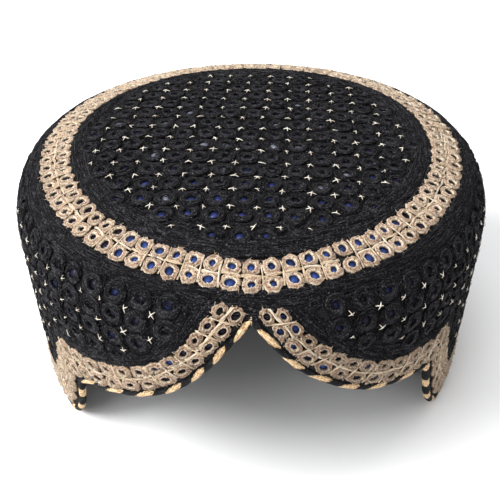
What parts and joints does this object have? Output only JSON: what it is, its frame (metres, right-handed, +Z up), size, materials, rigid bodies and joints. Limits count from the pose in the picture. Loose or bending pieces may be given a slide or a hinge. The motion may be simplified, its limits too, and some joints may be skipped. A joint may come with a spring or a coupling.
{
  "type": "sindhi cap",
  "caption": "Stiff round cloth cap with a domed crown, an upright wall cut to a cusped arch at the front, and stitched mirror bands.",
  "frame": {"origin": "on the floor plane, at the middle of the cap's box", "axes": "+Z up out of the crown, -Y to the front with the cusped arch, +X to the right as the front is seen"},
  "size_m": [0.191, 0.1894, 0.0985],
  "materials": {
    "black_cloth": "matt black cotton under lightly glossy stitching",
    "straw_thread": "satin straw-coloured thread",
    "cord": "twisted black and gold cord",
    "black_thread": "satin black embroidery thread",
    "cream_thread": "cream thread of the small crosses",
    "mirror": "small mirrors with a blue cast",
    "lining": "plain matt black lining"
  },
  "bodies": {
    "root": {"crown_top": "black_cloth", "side_wall": "black_cloth", "crown_ring": "straw_thread", "rim_band": "straw_thread", "rim_piping": "cord"}
  },
  "joints": []
}
